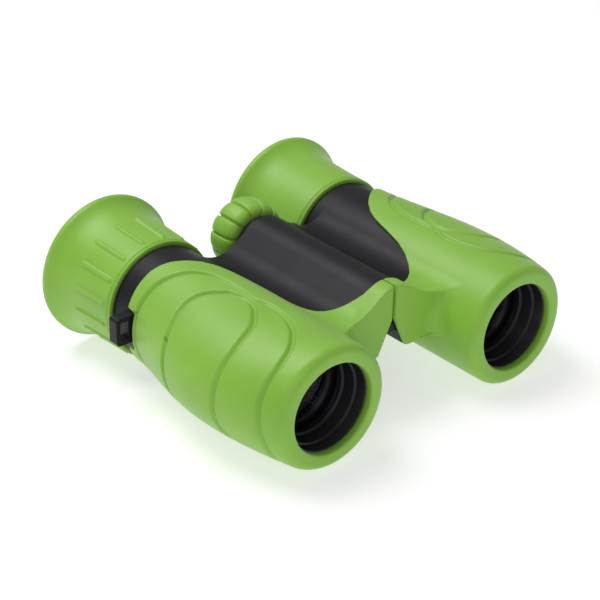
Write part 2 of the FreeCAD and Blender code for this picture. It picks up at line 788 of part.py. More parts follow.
def eyecup():
    """Rubber sleeve on the ring, flaring into an open bell."""
    x = -axis_x
    base_y = housing_rear_y + ring_gap
    flare = (eyecup_rim_r - eyecup_waist_r) * bell_flare_share
    bell_y = eyecup_waist_y + (rear_y - eyecup_waist_y) * bell_length_share
    outer = [V(x + eyecup_waist_r, eyecup_waist_y, 0), V(x + eyecup_waist_r + flare, bell_y, 0),
             V(x + eyecup_rim_r, rear_y, 0)]
    inner = [V(x + eyecup_rim_r - eyecup_t, rear_y, 0),
             V(x + eyecup_waist_r + flare - eyecup_t, bell_y, 0), V(x + ring_r, ring_rear_y, 0)]
    base_in = V(x + ring_r, base_y, 0)
    base_out = V(x + barrel_r, base_y, 0)
    edges = [Part.makeLine(base_in, base_out), Part.makeLine(base_out, outer[0]),
             Part.Arc(*outer).toShape(), Part.makeLine(outer[2], inner[0]),
             Part.Arc(*inner).toShape(), Part.makeLine(inner[2], base_in)]
    return spin(edges, x)


def ribbed_eyecup():
    """The right eyecup turns the dioptre ring, so it has finger ribs."""
    body = eyecup()
    for i in range(rib_count):
        rib = block(-rib_w / 2, rib_w / 2, rib_front_y, rib_rear_y, barrel_r - 1,
                    eyecup_waist_r + rib_h)
        rib.rotate(V(0, 0, 0), V(0, 1, 0), 360 * (i + 0.5) / rib_count)
        rib.translate(V(-axis_x, 0, 0))
        body = body.fuse(rib)
    return body.removeSplitter()


# ---- the whole set ----------------------------------------------------------
def paired_pieces():
    """Pieces that both barrels have, as the right-hand ones."""
    return {
        "objective_baffle": objective_baffle(),
        "objective_cell": objective_cell(),
        "objective_crown": objective_crown(),
        "objective_flint": objective_flint(),
        "objective_retainer": objective_retainer(),
        "focus_arm": focus_arm(),
        "prism_cage": prism_cage(),
        "half_penta_prism": half_penta_prism(),
        "roof_prism": roof_prism(),
        "prism_clip": prism_clip(),
        "eyepiece_tube": eyepiece_tube(),
        "field_lens": field_lens(),
        "eye_lens": eye_lens(),
        "eyepiece_retainer": eyepiece_retainer(),
    }


def all_pieces():
    pieces = {}
    for name, shape in paired_pieces().items():
        pieces["right_" + name] = shape
        pieces["left_" + name] = mirrored(shape)
    plain_half = half_housing()
    right_rubber = armour(plain_half)
    pieces["right_housing"] = right_housing()
    pieces["left_housing"] = left_housing()
    pieces["right_armour"] = right_rubber
    pieces["left_armour"] = left_armour(right_rubber, pieces["left_housing"])
    pieces["dioptre_ring"] = eyecup_ring(slide_fit)
    pieces["left_eyecup_ring"] = mirrored(eyecup_ring(0.0))
    pieces["right_eyecup"] = ribbed_eyecup()
    pieces["left_eyecup"] = mirrored(eyecup())
    pieces["hinge_axle"] = hinge_axle()
    pieces["hinge_nut"] = hinge_nut()
    pieces["hinge_washers"] = hinge_washers()
    pieces["focus_wheel_hub"] = focus_wheel_hub()
    pieces["focus_wheel_tyre"] = focus_wheel_tyre()
    pieces["focus_screw"] = focus_screw()
    pieces["wheel_cap_screw"] = wheel_cap_screw()
    pieces["focus_nut"] = focus_nut()
    pieces["focus_cross_pins"] = focus_cross_pins()
    pieces["focus_carriage"] = focus_carriage()
    return pieces


def report(name, shape):
    box = shape.BoundBox
    print(f"{name:26s} solids {len(shape.Solids)} valid {shape.isValid()} volume {shape.Volume:9.1f}"
          f"  x {box.XMin:6.1f} {box.XMax:6.1f} y {box.YMin:6.1f} {box.YMax:6.1f}"
          f" z {box.ZMin:6.1f} {box.ZMax:6.1f}")


os.makedirs("parts", exist_ok=True)
for piece_name, piece_shape in all_pieces().items():
    report(piece_name, piece_shape)
    piece_shape.exportStep(f"parts/{piece_name}.step")
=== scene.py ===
import math

import bmesh
import bpy
from mathutils import Matrix, Vector, kdtree


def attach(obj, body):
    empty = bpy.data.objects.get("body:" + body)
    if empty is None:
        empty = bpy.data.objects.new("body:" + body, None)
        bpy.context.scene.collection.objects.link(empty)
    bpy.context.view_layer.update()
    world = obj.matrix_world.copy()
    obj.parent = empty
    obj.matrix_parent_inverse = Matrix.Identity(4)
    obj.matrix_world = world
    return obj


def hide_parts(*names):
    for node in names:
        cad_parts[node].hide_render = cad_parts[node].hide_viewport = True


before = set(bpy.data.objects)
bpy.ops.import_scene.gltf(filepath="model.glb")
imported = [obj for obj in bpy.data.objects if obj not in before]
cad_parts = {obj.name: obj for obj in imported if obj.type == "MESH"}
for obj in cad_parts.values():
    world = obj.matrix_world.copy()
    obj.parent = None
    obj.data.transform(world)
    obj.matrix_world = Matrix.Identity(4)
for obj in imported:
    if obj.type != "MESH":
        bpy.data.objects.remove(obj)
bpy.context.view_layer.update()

# Looks of the compact roof-prism binoculars. Sizes are in millimetres up to the point
# where a mesh is finished, and the sizes of the CAD model are repeated here.
MM = 0.001
AXIS_X = 32.0            # optical axes from the middle plane
HINGE_Z = 8.5            # hinge axis over the optical axes
BARREL_R = 16.8
GRIP_BULGE = 6.2
GRIP_Y = -20.0
LIP_R = 2.2
FRONT_Y = -48.5
OPENING_R = 12.25        # front opening in the rubber
SKIN_T = 1.1             # rubber skin over the housing
REAR_EDGE_Y = 15.0
NOSE_FRONT_Y = -35.0
NOSE_BACK_Y = -29.9
NOSE_R = 8.9             # rubber over the hinge cover
VALLEY_R = 9.5
SEAM_X = -0.3
WING_Z = -1.5
FLANK = math.radians(36.87)
V_GAP = math.radians(25)
POCKET_R = 6.4           # room in the noses for the front knuckle
POCKET_Y = -33.5


# ---- general helpers ---------------------------------------------------------
def smooth(t):
    """0 below 0, 1 above 1, and a soft step between."""
    t = min(1.0, max(0.0, t))
    return t * t * (3 - 2 * t)


def along_curve(points, value):
    """Second number of a table of pairs at a value of the first, by straight lines."""
    if value <= points[0][0]:
        return points[0][1]
    for (a, fa), (b, fb) in zip(points, points[1:]):
        if value <= b:
            return fa + (fb - fa) * (value - a) / (b - a)
    return points[-1][1]


def flowing(points, spacing):
    """A smooth line through points (Catmull-Rom), as many close points."""
    ends = [points[0] * 2 - points[1]] + points + [points[-1] * 2 - points[-2]]
    line = []
    for a, b, c, d in zip(ends, ends[1:], ends[2:], ends[3:]):
        steps = max(2, round((c - b).length / spacing))
        for i in range(steps):
            t = i / steps
            line.append(0.5 * ((2 * b) + (c - a) * t + (2 * a - 5 * b + 4 * c - d) * t ** 2
                               + (3 * b - a - 3 * c + d) * t ** 3))
    return line + [points[-1]]


def finished(name, bm, body, slot, material, *nodes):
    """Turns a mesh in millimetres into a piece that rides on a body."""
    bmesh.ops.scale(bm, vec=(MM, MM, MM), verts=bm.verts)
    mesh = bpy.data.meshes.new(name)
    for face in bm.faces:
        face.smooth = True
    bm.to_mesh(mesh)
    bm.free()
    mesh.materials.append(material)
    piece = bpy.data.objects.new(name, mesh)
    bpy.context.scene.collection.objects.link(piece)
    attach(piece, body)
    if nodes:
        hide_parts(*nodes)
    return piece


def mirrored(bm):
    bmesh.ops.scale(bm, vec=(-1, 1, 1), verts=bm.verts)
    bmesh.ops.recalc_face_normals(bm, faces=bm.faces)


# ---- rubber armour -----------------------------------------------------------
def bulge_share(y):
    if y < GRIP_Y:
        return max(0.0, 1 - ((y - GRIP_Y) / 28.0) ** 2)
    return (1 - min(1.0, (y - GRIP_Y) / 36.0) ** 2) ** 2


def barrel_reach(angle, y):
    """Distance from the optical axis to the rubber, at an angle from the hinge side."""
    c = math.cos(angle)
    if c >= 0:
        return BARREL_R
    wide = BARREL_R + GRIP_BULGE * bulge_share(y)
    return 1 / math.hypot(c / wide, math.sin(angle) / BARREL_R)


def barrel_point(angle, y, inset=0.0):
    reach = barrel_reach(angle, y) - inset
    return Vector((-AXIS_X + reach * math.cos(angle), y, reach * math.sin(angle)))


def spread(a, b, count):
    return [a + (b - a) * i / count for i in range(count)]


def armour_columns():
    """Stations round the nose and the barrel: place and outward direction in XZ, the
    angle of the matching place on the barrel, and the kind of surface."""
    down = Vector((-math.cos(FLANK), -math.sin(FLANK)))
    out = Vector((-math.sin(FLANK), math.cos(FLANK)))
    hinge = Vector((0, HINGE_Z))
    barrel = Vector((-AXIS_X, 0))
    top = hinge + out * NOSE_R
    reach = top + out * VALLEY_R - barrel
    along = reach.dot(down)
    gap = BARREL_R + VALLEY_R
    centre = barrel + reach + down * (-along - math.sqrt(along ** 2 - reach.dot(reach) + gap ** 2))
    valley_start = centre - out * VALLEY_R
    meet = (centre - barrel).normalized()
    meet_angle = math.atan2(meet.y, meet.x)
    foot_angle = math.asin(WING_Z / BARREL_R)
    foot = barrel + BARREL_R * Vector((math.cos(foot_angle), math.sin(foot_angle)))
    corner = Vector((-(HINGE_Z - WING_Z) * math.tan(V_GAP), WING_Z))
    v_top = Vector((SEAM_X, HINGE_Z + SEAM_X / math.tan(V_GAP)))
    seam_top = Vector((SEAM_X, HINGE_Z + math.sqrt(NOSE_R ** 2 - SEAM_X ** 2)))
    v_out = Vector((math.cos(V_GAP), -math.sin(V_GAP)))
    columns = []

    def straight(a, b, count, normal, angle_a, angle_b, kind):
        for t in spread(0, 1, count):
            columns.append((a.lerp(b, t), normal, angle_a + (angle_b - angle_a) * t, kind))

    straight(foot, corner, 22, Vector((0, -1)), foot_angle, math.radians(0), "side")
    straight(corner, v_top, 24, v_out, math.radians(0), math.radians(11), "side")
    straight(v_top, seam_top, 24, Vector((1, 0)), math.radians(11), math.radians(22), "side")
    seam_angle = math.atan2(seam_top.y - HINGE_Z, seam_top.x)
    for t in spread(0, 1, 22):
        a = seam_angle + (math.pi / 2 + FLANK - seam_angle) * t
        normal = Vector((math.cos(a), math.sin(a)))
        columns.append((hinge + normal * NOSE_R, normal, math.radians(22 + 5 * t), "top"))
    count = round((valley_start - top).length / 0.36)
    straight(top, valley_start, count, out, math.radians(27), math.radians(36), "top")
    valley_from = math.atan2(-out.y, -out.x)
    valley_to = math.atan2(-meet.y, -meet.x)
    count = round(abs(valley_to - valley_from) * VALLEY_R / 0.36)
    for t in spread(0, 1, count):
        a = valley_from + (valley_to - valley_from) * t
        ray = Vector((math.cos(a), math.sin(a)))
        columns.append((centre + ray * VALLEY_R, -ray,
                        math.radians(36) + (meet_angle - math.radians(36)) * t, "top"))
    count = 268
    for t in spread(0, 1, count):
        a = meet_angle + (2 * math.pi + foot_angle - meet_angle) * t
        columns.append((None, Vector((math.cos(a), math.sin(a))), a, "barrel"))
    return columns + [columns[0]]


# rear edge of the rubber in plan, as (distance from the middle plane, y)
REAR_EDGE = [(0, -29.9), (4.2, -29.9), (6.2, -29.5), (8.1, -28.4), (11, -26.4), (14.9, -24),
             (16.9, -22.4), (18.8, -20), (20.7, -16.6), (22.3, -12), (23.5, -6.8), (24.3, -3),
             (25.2, 0.6), (26.6, 4), (29.1, 7.5), (32.2, 10.3), (35.4, 12.6), (38, 13.9),
             (40.7, 14.7), (44.5, 15)]


def rear_edge_y(place, normal, angle, kind):
    """Where a column of the rubber ends."""
    if kind == "side":
        over_pocket = normal.x > 0.99 and (place - Vector((0, HINGE_Z))).length >= POCKET_R
        return NOSE_BACK_Y if over_pocket else POCKET_Y
    if kind == "top":
        return along_curve(REAR_EDGE, -place.x)
    turned = math.degrees(angle)
    if turned > 150:
        beside_lug = smooth((turned - 158.6) / 1.3) * smooth((201.5 - turned) / 6)
        return REAR_EDGE_Y - 3.6 * beside_lug
    point = barrel_point(angle, 12.0)
    return along_curve(REAR_EDGE, -point.x)


# crossing waves moulded into the grip, as (degrees round from the hinge side, y)
WAVES = [
    [(238, 7.0), (215, 7.7), (195, 8.7), (180, 10.1), (154, 10.5), (131, 9.4), (118, 7.9),
     (108, 6.2), (99, 4.1), (91, 0.2), (87.5, -5), (87, -10.5), (89, -16.3), (84.5, -20.8),
     (85, -26.2), (91, -31.9), (100, -36.1), (114, -39.8), (130, -41.4), (146, -41.7),
     (162, -41.9), (176, -42.5), (195, -43.5), (215, -43.7), (240, -43.7)],
    [(238, -12.4), (210, -11.0), (184, -9.1), (173, -7.9), (162, -6.8), (148, -5.4), (134, -4.5),
     (121, -4.7), (110, -6.3), (100, -9.3), (97, -10.3), (94, -14.0), (93.5, -17.2),
     (97, -20.2), (105, -23.3), (115, -26), (127, -27.2), (141, -28.1), (156, -28.4),
     (171, -29), (188, -29.6), (205, -31), (240, -32.5)],
]
WAVE_UNROLL_R = 20       # radius at which the waves are laid flat to draw them
WAVE_FADE_FROM = 243     # degrees round, where the waves have run out under the barrel
WAVE_FADE = 35
WAVE_HALF_W = 0.92
WAVE_DEPTH = 0.88
WAVE_SIDE_W = 0.62       # of the groove's half width, taken by its sloping side


def wave_lines():
    points = []
    for wave in WAVES:
        flat = [Vector((math.radians(a) * WAVE_UNROLL_R, y, 0)) for a, y in wave]
        for p in flowing(flat, 0.2):
            points.append(barrel_point(p.x / WAVE_UNROLL_R, p.y))
    tree = kdtree.KDTree(len(points))
    for i, point in enumerate(points):
        tree.insert(point, i)
    tree.balance()
    return tree


def wave_depth(tree, point, angle):
    """How deep a wave's groove is at a point of the rubber."""
    distance = tree.find(point)[2]
    if distance >= WAVE_HALF_W:
        return 0.0
    fade = smooth((WAVE_FADE_FROM - math.degrees(angle)) / WAVE_FADE)
    return WAVE_DEPTH * fade * smooth((WAVE_HALF_W - distance) / WAVE_SIDE_W)


# the rubber's front opening and lip, as (radius, y)
LIP_INSIDE = [(OPENING_R, -46.3), (OPENING_R, -47.1), (OPENING_R, -47.9), (12.36, -48.28),
              (12.65, FRONT_Y), (13.3, FRONT_Y), (14.0, FRONT_Y)]

# rows of the rubber's grid, in the order in which a column passes through them
ROUND_STEPS = 8
FRONT_ROWS = 20
FILLET_ROWS = 14
FACE_ROWS = 8
RIDGE_ROWS = 6
SKIN_ROWS = 116
BACK_ROWS = 12
BACK_DISH = 0.02         # how hollow the back is, as a share of its width
INSIDE_ROWS = 8

FILLET_R = 4.4           # hollow between a barrel and the nose's front
RIDGE_R = 1.3            # at the seam
RIDGE_GROWTH = 2.9       # and this much more beside the barrel
RIDGE_FROM = 1.5         # it begins to grow this far from the middle plane...
RIDGE_OVER = 9           # ...and has grown this much further on
SEAT_RIDGE_R = 1.0       # under the nose
STEEP_STAND = 12         # a nose that stands this far off the barrel has an upright front


def armour_column(column, waves):
    """Places down one column of the rubber skin, from the opening's inside over the lip,
    the barrel and the nose to the rear edge, and back inside to where it began."""
    place, normal, angle, kind = column
    outward = Vector((normal.x, 0, normal.y))
    ray = Vector((math.cos(angle), 0, math.sin(angle)))
    axis = Vector((-AXIS_X, 0, 0))
    line = [axis + ray * r + Vector((0, y, 0)) for r, y in LIP_INSIDE]
    for i in range(ROUND_STEPS + 1):
        turn = math.pi / 2 * i / ROUND_STEPS
        y = FRONT_Y + LIP_R * (1 - math.cos(turn))
        line.append(barrel_point(angle, y, LIP_R * (1 - math.sin(turn))))

    def on_skin(y, share):
        """A point of the outside, part of the way from the barrel to the nose."""
        point = barrel_point(angle, y)
        if kind == "barrel":
            return point - outward * wave_depth(waves, point, angle)
        return point.lerp(Vector((place.x, y, place.y)), share)

    stand = 0.0          # how far the nose stands off the barrel here
    if kind != "barrel":
        stand = (Vector((place.x, 0, place.y)) - barrel_point(angle, 0)).length
    weight = smooth(stand / STEEP_STAND)
    fillet = min(FILLET_R, 0.5 * stand)
    ridge = SEAT_RIDGE_R
    if kind == "top":
        ridge = RIDGE_R + RIDGE_GROWTH * smooth((-place.x - RIDGE_FROM) / RIDGE_OVER)
    fillet_y = NOSE_FRONT_Y - FILLET_R
    ridge_y = NOSE_FRONT_Y + ridge
    ridge = min(ridge, 0.45 * stand)
    first_y = FRONT_Y + LIP_R
    for i in range(1, FRONT_ROWS + 1):
        line.append(on_skin(first_y + (fillet_y - first_y) * i / FRONT_ROWS, 0.0))
    rise = []
    for i in range(1, FILLET_ROWS + 1):
        turn = math.pi / 2 * i / FILLET_ROWS
        rise.append((fillet * (1 - math.cos(turn)), NOSE_FRONT_Y - fillet * (1 - math.sin(turn))))
    for i in range(1, FACE_ROWS + 1):
        rise.append((fillet + (stand - ridge - fillet) * i / FACE_ROWS, NOSE_FRONT_Y))
    for i in range(1, RIDGE_ROWS + 1):
        turn = math.pi / 2 * i / RIDGE_ROWS
        rise.append((stand - ridge * (1 - math.sin(turn)),
                     NOSE_FRONT_Y + ridge * (1 - math.cos(turn))))
    for i, (out, y) in enumerate(rise):
        even_y = fillet_y + (ridge_y - fillet_y) * (i + 1) / len(rise)
        share = out / stand if stand > 1e-6 else 0.0
        line.append(on_skin(even_y + (y - even_y) * weight, share))
    last_y = line[-1].y
    end_y = rear_edge_y(place, normal, angle, kind)
    for i in range(1, SKIN_ROWS + 1):
        line.append(on_skin(last_y + (end_y - 0.35 - last_y) * i / SKIN_ROWS, 1.0))
    edge = on_skin(end_y, 1.0)
    line.append(edge - outward * 0.1 - Vector((0, 0.1, 0)))
    line.append(edge - outward * 0.35)
    line.append(edge - outward * SKIN_T)
    back_y = end_y + (min(end_y, POCKET_Y) - end_y) * smooth(stand / 3)
    start = edge - outward * SKIN_T
    start.y = back_y
    finish = barrel_point(angle, back_y, SKIN_T)
    dish = BACK_DISH * (finish - start).length
    for i in range(BACK_ROWS + 1):
        t = i / BACK_ROWS
        line.append(start.lerp(finish, t) - Vector((0, dish * math.sin(math.pi * t), 0)))
    for i in range(1, INSIDE_ROWS + 1):
        y = back_y + (first_y - back_y) * i / INSIDE_ROWS
        line.append(barrel_point(angle, y, SKIN_T))
    return line + [line[0]]


def armour(waves):
    """A grid laid round the barrel and nose, joined to itself both ways."""
    lines = [armour_column(column, waves) for column in armour_columns()]
    across = len(lines)
    down = len(lines[0])
    bm = bmesh.new()
    bmesh.ops.create_grid(bm, x_segments=across - 1, y_segments=down - 1, size=1)
    bm.verts.ensure_lookup_table()
    for row in range(down):
        for col in range(across):
            bm.verts[row * across + col].co = lines[col][row]
    bmesh.ops.remove_doubles(bm, verts=bm.verts, dist=0.004)
    bmesh.ops.dissolve_degenerate(bm, dist=0.003, edges=bm.edges)
    bmesh.ops.recalc_face_normals(bm, faces=bm.faces)
    return bm


# ---- turned pieces -----------------------------------------------------------
ROUND_SEGMENTS = 480


def turned(profile, x, z, steps):
    """A ring from a closed profile of (radius, y), spun about a line along Y."""
    bm = bmesh.new()
    verts = [bm.verts.new((x + r, y, z)) for r, y in profile]
    edges = [bm.edges.new((a, b)) for a, b in zip(verts, verts[1:] + verts[:1])]
    bmesh.ops.spin(bm, geom=verts + edges, cent=(x, 0, z), axis=(0, 1, 0),
                   angle=2 * math.pi, steps=steps, use_merge=True)
    bmesh.ops.remove_doubles(bm, verts=bm.verts, dist=0.0005)
    bmesh.ops.recalc_face_normals(bm, faces=bm.faces)
    return bm


def curve_profile(points, spacing):
    return [(p.x, p.y) for p in flowing([Vector((r, y, 0)) for r, y in points], spacing)]


def light_trap():
    """Stepped black tube in a front opening; its eased edges catch thin lines of light."""
    front, rear, outer = -46.28, -37.42, 12.46
    inside = [(12.15, front), (12.0, front + 0.15)]
    for radius, depth in ((11.3, -43.1), (10.45, -39.3)):
        wider = inside[-1][0]
        inside += [(wider, depth - 0.12), (wider - 0.12, depth), (radius + 0.2, depth),
                   (radius, depth + 0.2)]
    narrowest = inside[-1][0]
    profile = [(outer, front)] + inside + [(narrowest, rear), (outer, rear)]
    return turned(profile, -AXIS_X, 0, 240)


RIBS = 16
RIB_H = 0.5
RIB_HALF_W = 0.7
RIB_SIDE_W = 0.3         # of that, taken by a rib's sloping side
RIB_MIDDLE_Y = 30.9
RIB_HALF_LEN = 5.9       # without its round ends


def eyecup(ribbed):
    """Rubber sleeve flaring to a soft bell; the right one has finger ribs."""
    base = [(15.22, 22.1), (16.4, 22.1), (16.66, 22.16), (16.8, 22.4), (16.8, 22.75),
            (16.6, 22.88), (16.55, 23.0), (16.6, 23.12), (16.82, 23.25)]
    sleeve = curve_profile([(16.85, 24), (17.0, 28), (17.2, 32), (17.45, 36), (17.7, 39),
                            (18.0, 41), (18.55, 43), (19.2, 44.5), (19.95, 45.7), (20.5, 46.4),
                            (20.74, 46.9), (20.79, 47.4), (20.74, 47.9)], 0.35)
    rim = [(20.62, 48.2), (20.42, 48.4), (20.1, 48.49), (19.85, 48.42), (19.68, 48.2)]
    bell = curve_profile([(19.5, 47.3), (18.9, 46.0), (18.1, 44.6), (17.4, 43.2), (16.8, 41.8),
                          (16.2, 40.4), (15.7, 39.2), (15.22, 38.02)], 0.6)
    inside = [(15.22, 34.0), (15.22, 30.0), (15.22, 26.0)]
    bm = turned(base + sleeve + rim + bell + inside, -AXIS_X, 0, ROUND_SEGMENTS)
    if ribbed:
        pitch = 2 * math.pi / RIBS
        for vert in bm.verts:
            out = Vector((vert.co.x + AXIS_X, 0, vert.co.z))
            angle = math.atan2(out.z, out.x)
            if out.length < 16.7 or not 23.8 < vert.co.y < 38.0 or vert.normal.dot(out) < 0:
                continue
            aside = ((angle / pitch) % 1.0 - 0.5) * pitch * out.length
            beyond = max(0.0, abs(vert.co.y - RIB_MIDDLE_Y) - RIB_HALF_LEN)
            away = math.hypot(aside, beyond)
            vert.co += out.normalized() * RIB_H * smooth((RIB_HALF_W - away) / RIB_SIDE_W)
    return bm


TYRE_FRONT_Y = 20.62
TYRE_REAR_Y = 30.38
TYRE_BORE_R = 6.62
TYRE_EDGE_R = 7.4
TYRE_RISE = 2.97         # from its edges to its crown
LOBES = 12
GROOVE_DEPTH = 0.75
GROOVE_HALF_W = 0.55
LOBE_ROUNDING = 0.3      # how much lower a lobe is at its sides
LINE_DEPTH = 0.1         # fine lines round the tread
LINE_HALF_W = 0.22
LINE_ASIDE = 2.3         # from the tread's middle


def wheel_tyre():
    """Doughnut-shaped tyre, parted into lobes by grooves, with two fine lines round it."""
    mid = (TYRE_FRONT_Y + TYRE_REAR_Y) / 2
    tread = []
    for i in range(57):
        turn = math.pi * i / 56
        aside = -math.copysign(abs(math.cos(turn)) ** 0.8, math.cos(turn))
        tread.append((TYRE_EDGE_R + TYRE_RISE * math.sin(turn) ** 0.8,
                      mid + (TYRE_REAR_Y - mid) * aside))
    bore = [(TYRE_BORE_R, TYRE_REAR_Y), (TYRE_BORE_R, mid), (TYRE_BORE_R, TYRE_FRONT_Y)]
    bm = turned(tread + bore, 0, HINGE_Z, ROUND_SEGMENTS)
    bm.normal_update()
    half_pitch = math.pi / LOBES
    for vert in bm.verts:
        out = Vector((vert.co.x, 0, vert.co.z - HINGE_Z))
        if out.length < TYRE_EDGE_R - 0.1:
            continue
        aside = (math.atan2(out.z, out.x) / half_pitch % 2.0 - 1) * half_pitch
        groove = GROOVE_DEPTH * smooth(1 - abs(aside) * out.length / GROOVE_HALF_W)
        lobe = LOBE_ROUNDING * (1 - abs(aside) / half_pitch) ** 3
        off_line = abs(abs(vert.co.y - mid) - LINE_ASIDE)
        fine = LINE_DEPTH * max(0.0, 1 - off_line / LINE_HALF_W)
        vert.co -= vert.normal * (groove + lobe + fine)
    return bm


# ---- materials ---------------------------------------------------------------
def colour(hex_value):
    """Linear RGBA of an sRGB hex colour."""
    parts = [int(hex_value[i:i + 2], 16) / 255 for i in (1, 3, 5)]
    return [c / 12.92 if c <= 0.04045 else ((c + 0.055) / 1.055) ** 2.4 for c in parts] + [1.0]


def add_node(tree, kind, settings=(), links=()):
    """Adds a shader node with (name, value) settings and (socket, source) links."""
    made = tree.nodes.new("ShaderNode" + kind)
    for name, value in settings:
        if isinstance(name, int) or name in made.inputs:
            made.inputs[name].default_value = value
        else:
            setattr(made, name, value)
    for name, source in links:
        tree.links.new(source, made.inputs[name])
    return made


def new_material(name):
    """A material with its Principled shader and its place on the object."""
    material = bpy.data.materials.new(name)
    material.use_nodes = True
    tree = material.node_tree
    shader = tree.nodes["Principled BSDF"]
    place = add_node(tree, "TexCoord").outputs["Object"]
    return material, tree, shader, place


def set_shader(shader, *settings):
    for name, value in settings:
        shader.inputs[name].default_value = value


def per_mm(size):
    """Texture scale for a pattern of this size in millimetres."""
    return 1 / (size * MM)


def moulded_surface(tree, shader, place, grain_mm, grain_depth_mm, strength, extra=None):
    """Fine grain of a moulded part, as bump."""
    grain = add_node(tree, "TexNoise", [("Scale", per_mm(grain_mm)), ("Detail", 2.0),
                                        ("Roughness", 0.6)], [("Vector", place)])
    bump = add_node(tree, "Bump", [("Strength", strength), ("Distance", grain_depth_mm * MM)],
                    [("Height", grain.outputs["Fac"])] + ([("Normal", extra)] if extra else []))
    tree.links.new(bump.outputs["Normal"], shader.inputs["Normal"])
    return grain


def two_tones(tree, source, low, high, dark, light):
    """Colour that follows a texture from one tone to another."""
    ramp = add_node(tree, "ValToRGB", (), [("Fac", source)])
    ramp.color_ramp.elements[0].position = low
    ramp.color_ramp.elements[0].color = dark
    ramp.color_ramp.elements[1].position = high
    ramp.color_ramp.elements[1].color = light
    return ramp.outputs["Color"]


def green_rubber():
    """Soft-touch thermoplastic rubber, moulded in a spark-eroded tool: an even, nearly
    matt green with wide soft highlights, a fine grain and a faint flash line."""
    material, tree, shader, place = new_material("soft_touch_rubber_green")
    set_shader(shader, ("Roughness", 0.47), ("IOR", 1.5), ("Sheen Weight", 0.12),
               ("Sheen Roughness", 0.5))
    cloud = add_node(tree, "TexNoise", [("Scale", per_mm(14)), ("Detail", 3.0)],
                     [("Vector", place)])
    tone = two_tones(tree, cloud.outputs["Fac"], 0.3, 0.7, colour("#7EB434"), colour("#87BB3B"))
    tree.links.new(tone, shader.inputs["Base Color"])
    height = add_node(tree, "SeparateXYZ", (), [("Vector", place)]).outputs["Z"]
    away = add_node(tree, "Math", [("operation", "ADD"), (1, 1.7 * MM)], [(0, height)])
    near = add_node(tree, "Math", [("operation", "ABSOLUTE")], [(0, away.outputs[0])])
    flash = add_node(tree, "MapRange", [("From Min", 0.0), ("From Max", 0.16 * MM),
                                        ("To Min", 1.0), ("To Max", 0.0)],
                     [("Value", near.outputs[0])])
    line = add_node(tree, "Bump", [("Strength", 0.5), ("Distance", 0.06 * MM)],
                    [("Height", flash.outputs["Result"])])
    moulded_surface(tree, shader, place, 0.32, 0.05, 0.22, line.outputs["Normal"])
    return material


def black_abs(name, specular, rough_low, rough_high):
    """ABS moulded in a lightly etched tool: black with a satin shine, broad soft
    highlights and a grain that only shows close up."""
    material, tree, shader, place = new_material(name)
    set_shader(shader, ("IOR", 1.53), ("Specular IOR Level", specular))
    grain = moulded_surface(tree, shader, place, 0.28, 0.03, 0.25)
    tone = two_tones(tree, grain.outputs["Fac"], 0.35, 0.7, colour("#17151A"), colour("#1D1A20"))
    tree.links.new(tone, shader.inputs["Base Color"])
    cloud = add_node(tree, "TexNoise", [("Scale", per_mm(9)), ("Detail", 2.0)],
                     [("Vector", place)])
    rough = add_node(tree, "MapRange", [("From Min", 0.3), ("From Max", 0.7), ("To Min", rough_low),
                                        ("To Max", rough_high)], [("Value", cloud.outputs["Fac"])])
    tree.links.new(rough.outputs["Result"], shader.inputs["Roughness"])
    return material


def coated_glass():
    """Optical crown glass under a thin titania layer: clear, with a grey-plum reflection."""
    material, tree, shader, place = new_material("coated_optical_glass")
    set_shader(shader, ("Transmission Weight", 1.0), ("IOR", 1.52),
               ("Base Color", colour("#F4F1F8")),
               ("Specular Tint", colour("#DCD2E8")), ("Coat Weight", 1.0), ("Coat IOR", 2.2),
               ("Coat Roughness", 0.02), ("Coat Tint", colour("#F2ECF6")))
    smear = add_node(tree, "TexNoise", [("Scale", per_mm(6)), ("Detail", 3.0)],
                     [("Vector", place)])
    rough = add_node(tree, "MapRange", [("From Min", 0.4), ("From Max", 0.8), ("To Min", 0.01),
                                        ("To Max", 0.05)], [("Value", smear.outputs["Fac"])])
    tree.links.new(rough.outputs["Result"], shader.inputs["Roughness"])
    return material


def prism_glass():
    """Barium crown glass, ground on its edges: clear and faintly green in depth."""
    material, tree, shader, place = new_material("barium_crown_glass")
    set_shader(shader, ("Transmission Weight", 0.96), ("IOR", 1.57),
               ("Base Color", colour("#E4EEE6")))
    ground = add_node(tree, "TexNoise", [("Scale", per_mm(0.4)), ("Detail", 2.0)],
                      [("Vector", place)])
    rough = add_node(tree, "MapRange", [("From Min", 0.3), ("From Max", 0.7), ("To Min", 0.02),
                                        ("To Max", 0.12)], [("Value", ground.outputs["Fac"])])
    tree.links.new(rough.outputs["Result"], shader.inputs["Roughness"])
    return material


def anodised_aluminium():
    """Aluminium turned smooth and anodised dull black against stray light."""
    material, tree, shader, place = new_material("anodised_aluminium_black")
    set_shader(shader, ("IOR", 1.6), ("Specular IOR Level", 0.6), ("Roughness", 0.3))
    grain = moulded_surface(tree, shader, place, 0.15, 0.01, 0.15)
    tone = two_tones(tree, grain.outputs["Fac"], 0.3, 0.7, colour("#18181B"), colour("#202024"))
    tree.links.new(tone, shader.inputs["Base Color"])
    return material


